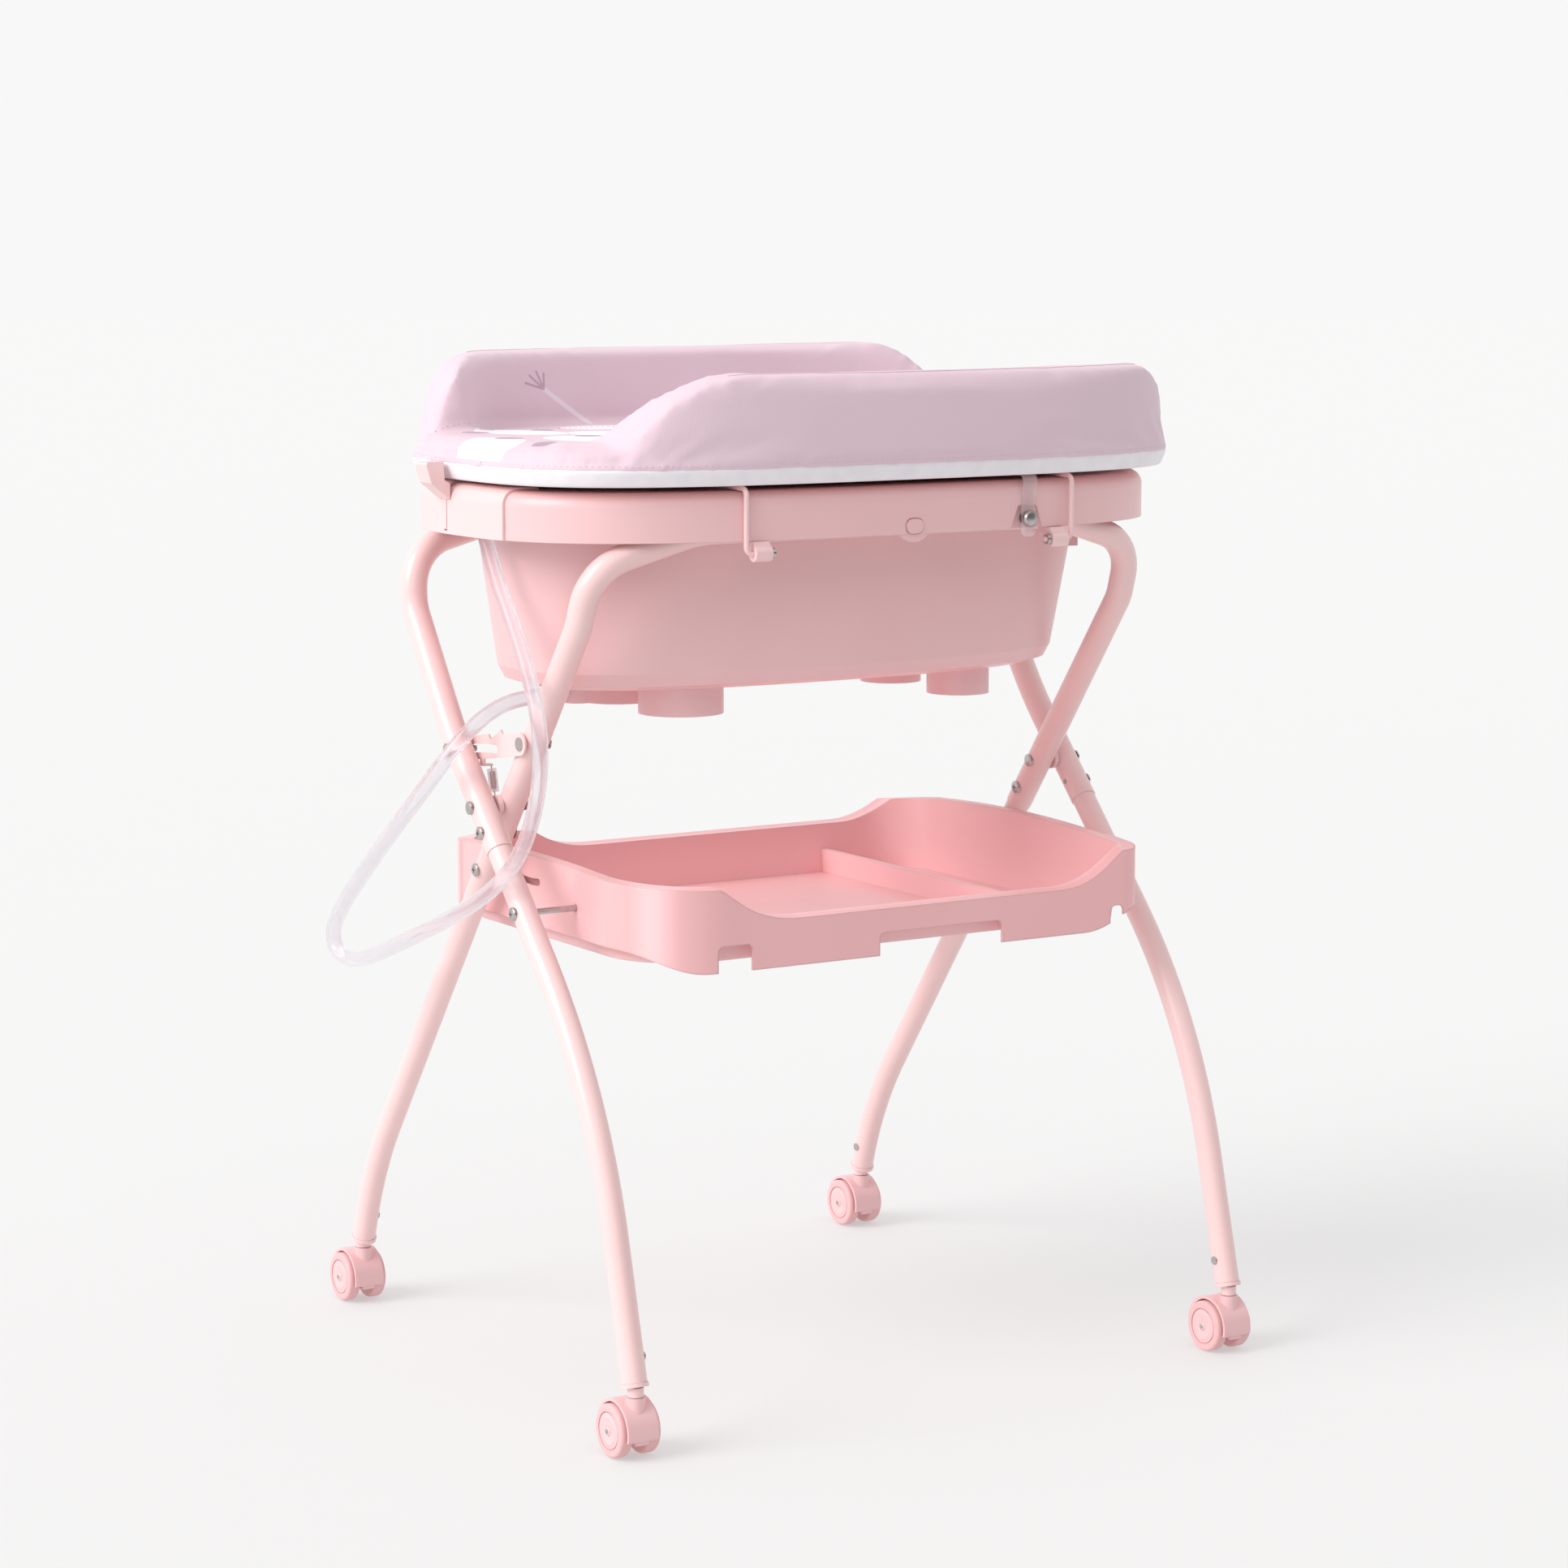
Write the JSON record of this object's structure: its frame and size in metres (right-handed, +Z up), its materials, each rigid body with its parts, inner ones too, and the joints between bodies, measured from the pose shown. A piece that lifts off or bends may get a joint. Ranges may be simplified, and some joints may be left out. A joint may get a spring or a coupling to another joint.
{
  "type": "baby changing table",
  "caption": "Folding tube stand on castors with a bath, a padded changing top hinged over it, a storage tray below and a drain hose.",
  "frame": {"origin": "on the floor at the middle of the footprint", "axes": "+X along the long side to the user's right, +Y to the rear, +Z up; the hinge side of the changing top is the front"},
  "size_m": [0.7951, 0.683, 0.984],
  "materials": {
    "frame_paint": "smooth pink powder coat",
    "pink_plastic": "moulded polypropylene, satin",
    "pale_plastic": "moulded polypropylene, satin, paler",
    "tread": "soft pink tread",
    "steel": "nickel-plated steel",
    "board": "covered board",
    "cloth": "matte coated fabric, lilac",
    "binding": "white satin binding",
    "clear_vinyl": "clear soft vinyl",
    "hose_vinyl": "clear soft hose with a lilac tint"
  },
  "bodies": {
    "inner_frame": {"inner_hoop": "frame_paint", "inner_leg_left": "frame_paint", "inner_leg_right": "frame_paint", "rear_foot_plug_left": "pale_plastic", "rear_foot_plug_right": "pale_plastic", "pivot_rivets": "steel", "pivot_spacers": "pale_plastic", "inner_joint_screws": "steel", "rear_foot_screws": "steel", "tray_rest_pins": "steel", "stay_rivet": "steel"},
    "outer_frame": {"outer_hoop": "frame_paint", "outer_leg_left": "frame_paint", "outer_leg_right": "frame_paint", "front_foot_plug_left": "pale_plastic", "front_foot_plug_right": "pale_plastic", "outer_joint_screws": "steel", "front_foot_screws": "steel", "tray_pins": "steel", "stay_slot_pin": "steel"},
    "stay": {"stay_link": "frame_paint", "catch_spring": "steel", "spring_sleeve": "clear_vinyl"},
    "tray": {"storage_tray": "pink_plastic"},
    "bath": {"bath_tub": "pink_plastic", "end_cover": "pale_plastic", "drain_valve": "pale_plastic", "hinge_lugs": "pale_plastic", "snap_stud": "steel", "hose_clip": "pale_plastic", "drain_hose": "hose_vinyl"},
    "changing_top": {"pad_board": "board", "pad_bed": "cloth", "pad_front_wall": "cloth", "pad_back_wall": "cloth", "edge_binding": "binding", "hinge_wire": "frame_paint", "hinge_nuts": "steel", "pad_strap": "clear_vinyl", "snap_cap": "steel"},
    "latch": {"end_latch": "pale_plastic"},
    "button": {"lock_button": "pink_plastic"},
    "plug": {"drain_plug": "pink_plastic"},
    "castor_front_left": {"castor_hood_front_left": "pink_plastic", "castor_pins_front_left": "steel"},
    "wheel_front_left_left": {"castor_wheel_front_left_left": "tread"},
    "wheel_front_left_right": {"castor_wheel_front_left_right": "tread"},
    "castor_front_right": {"castor_hood_front_right": "pink_plastic", "castor_pins_front_right": "steel"},
    "wheel_front_right_left": {"castor_wheel_front_right_left": "tread"},
    "wheel_front_right_right": {"castor_wheel_front_right_right": "tread"},
    "castor_rear_left": {"castor_hood_rear_left": "pink_plastic", "castor_pins_rear_left": "steel"},
    "wheel_rear_left_left": {"castor_wheel_rear_left_left": "tread"},
    "wheel_rear_left_right": {"castor_wheel_rear_left_right": "tread"},
    "castor_rear_right": {"castor_hood_rear_right": "pink_plastic", "castor_pins_rear_right": "steel"},
    "wheel_rear_right_left": {"castor_wheel_rear_right_left": "tread"},
    "wheel_rear_right_right": {"castor_wheel_rear_right_right": "tread"}
  },
  "joints": [
    {"name": "frame_fold", "type": "hinge", "parent": "inner_frame", "child": "outer_frame", "pos_m": [0, -0.0385, 0.562], "axis": [1, 0, 0], "range_deg": [0, 42]},
    {"name": "stay_swing", "type": "hinge", "parent": "inner_frame", "child": "stay", "pos_m": [-0.32, -0.08618, 0.626], "axis": [1, 0, 0], "range_deg": [0, 17]},
    {"name": "tray_tip", "type": "hinge", "parent": "outer_frame", "child": "tray", "pos_m": [0, -0.1213, 0.472], "axis": [1, 0, 0], "range_deg": [-7.8, 0]},
    {"name": "bath_lift", "type": "slide", "parent": "inner_frame", "child": "bath", "axis": [0, -0.078, 0.997], "range_m": [0, 0.885]},
    {"name": "top_hinge", "type": "hinge", "parent": "bath", "child": "changing_top", "pos_m": [0.012, -0.246, 0.809], "axis": [1, 0, 0], "range_deg": [0, 100]},
    {"name": "latch_swing", "type": "hinge", "parent": "bath", "child": "latch", "pos_m": [-0.3593, -0.014, 0.825], "axis": [0, -1, 0], "range_deg": [0, 24], "stiffness_Nm_per_rad": 0.3},
    {"name": "button_press", "type": "slide", "parent": "bath", "child": "button", "axis": [0, 1, 0], "range_m": [0, 0.003], "stiffness_N_per_m": 300},
    {"name": "plug_lift", "type": "slide", "parent": "bath", "child": "plug", "axis": [0, 0, 1], "range_m": [0, 0.12]},
    {"name": "castor_front_left_swivel", "type": "hinge", "parent": "outer_frame", "child": "castor_front_left", "pos_m": [-0.338, -0.326, 0.05], "axis": [0, 0, 1], "continuous": true},
    {"name": "wheel_front_left_left_spin", "type": "hinge", "parent": "castor_front_left", "child": "wheel_front_left_left", "pos_m": [-0.3525, -0.312, 0.025], "axis": [1, 0, 0], "continuous": true},
    {"name": "wheel_front_left_right_spin", "type": "hinge", "parent": "castor_front_left", "child": "wheel_front_left_right", "pos_m": [-0.3235, -0.312, 0.025], "axis": [1, 0, 0], "continuous": true},
    {"name": "castor_front_right_swivel", "type": "hinge", "parent": "outer_frame", "child": "castor_front_right", "pos_m": [0.338, -0.326, 0.05], "axis": [0, 0, 1], "continuous": true},
    {"name": "wheel_front_right_left_spin", "type": "hinge", "parent": "castor_front_right", "child": "wheel_front_right_left", "pos_m": [0.3235, -0.312, 0.025], "axis": [1, 0, 0], "continuous": true},
    {"name": "wheel_front_right_right_spin", "type": "hinge", "parent": "castor_front_right", "child": "wheel_front_right_right", "pos_m": [0.3525, -0.312, 0.025], "axis": [1, 0, 0], "continuous": true},
    {"name": "castor_rear_left_swivel", "type": "hinge", "parent": "inner_frame", "child": "castor_rear_left", "pos_m": [-0.307, 0.298, 0.05], "axis": [0, 0, 1], "continuous": true},
    {"name": "wheel_rear_left_left_spin", "type": "hinge", "parent": "castor_rear_left", "child": "wheel_rear_left_left", "pos_m": [-0.3215, 0.312, 0.025], "axis": [1, 0, 0], "continuous": true},
    {"name": "wheel_rear_left_right_spin", "type": "hinge", "parent": "castor_rear_left", "child": "wheel_rear_left_right", "pos_m": [-0.2925, 0.312, 0.025], "axis": [1, 0, 0], "continuous": true},
    {"name": "castor_rear_right_swivel", "type": "hinge", "parent": "inner_frame", "child": "castor_rear_right", "pos_m": [0.307, 0.298, 0.05], "axis": [0, 0, 1], "continuous": true},
    {"name": "wheel_rear_right_left_spin", "type": "hinge", "parent": "castor_rear_right", "child": "wheel_rear_right_left", "pos_m": [0.2925, 0.312, 0.025], "axis": [1, 0, 0], "continuous": true},
    {"name": "wheel_rear_right_right_spin", "type": "hinge", "parent": "castor_rear_right", "child": "wheel_rear_right_right", "pos_m": [0.3215, 0.312, 0.025], "axis": [1, 0, 0], "continuous": true}
  ],
  "couplings": [
    {"joint": "stay_swing", "follows": "frame_fold", "ratio": 0.4},
    {"joint": "tray_tip", "follows": "frame_fold", "ratio": -0.18},
    {"joint": "bath_lift", "follows": "frame_fold", "m_per_rad": 1.2}
  ]
}
